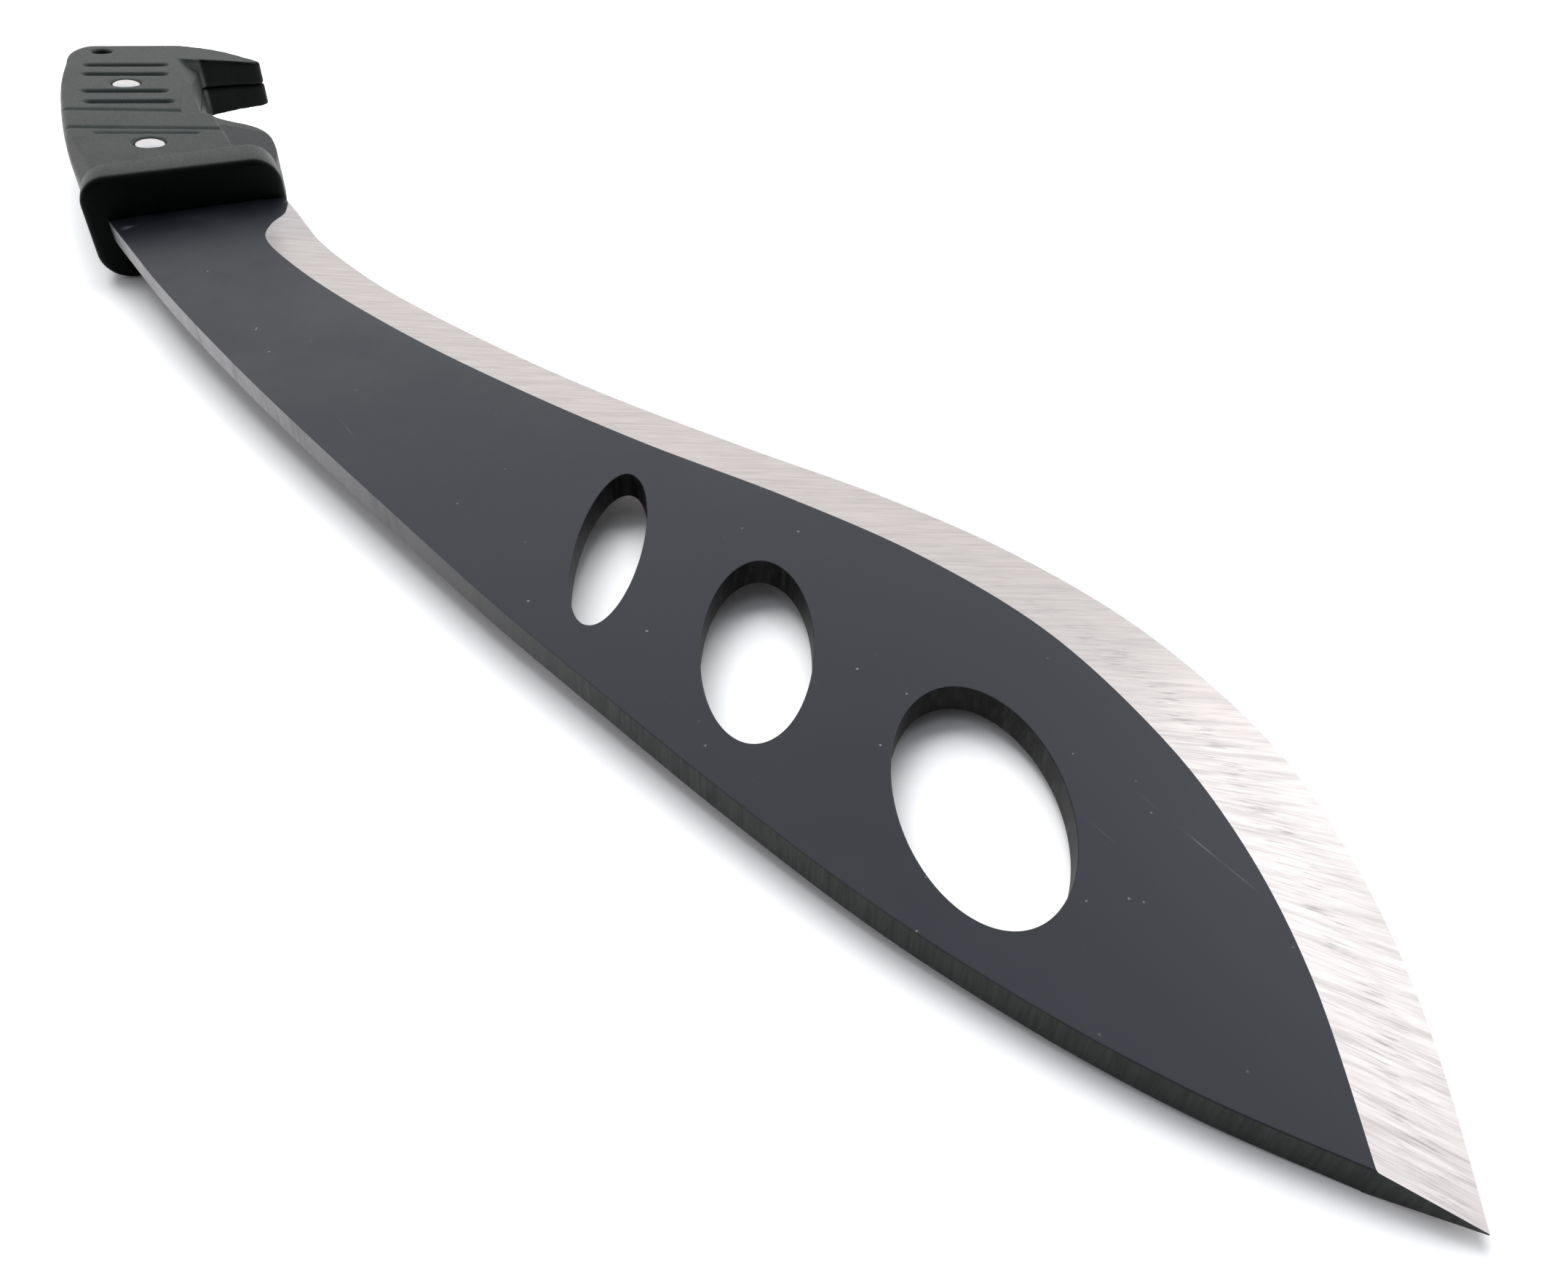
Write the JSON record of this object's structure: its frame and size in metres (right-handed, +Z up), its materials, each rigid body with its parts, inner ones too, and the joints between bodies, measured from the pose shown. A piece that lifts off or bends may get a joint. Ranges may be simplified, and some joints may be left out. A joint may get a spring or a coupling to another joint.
{
  "type": "machete",
  "caption": "Large fixed-blade machete with a black coated recurved blade, ground bevel, slanted oval holes and a hooked moulded handle.",
  "frame": {"origin": "on the surface that the knife rests on, under the middle of its overall length and width", "axes": "+X from the pommel to the tip, +Y towards the cutting edge, +Z up, out of the upper flat; the knife lies on its guard and its tip, so its flats lean 1.7 degrees from level"},
  "size_m": [0.463, 0.108, 0.0247],
  "materials": {
    "coated_steel": "black coated flats, with a bright satin bevel ground crosswise along the cutting edge",
    "guard_plastic": "matte black moulding",
    "handle_plastic": "dark grey-green moulded grip with a fine grain",
    "rivet_steel": "bright satin"
  },
  "bodies": {
    "root": {"blade": "coated_steel", "guard": "guard_plastic", "upper_handle_scale": "handle_plastic", "lower_handle_scale": "handle_plastic", "front_rivet_socket": "rivet_steel", "front_rivet_pin": "rivet_steel", "rear_rivet_socket": "rivet_steel", "rear_rivet_pin": "rivet_steel"}
  },
  "joints": []
}
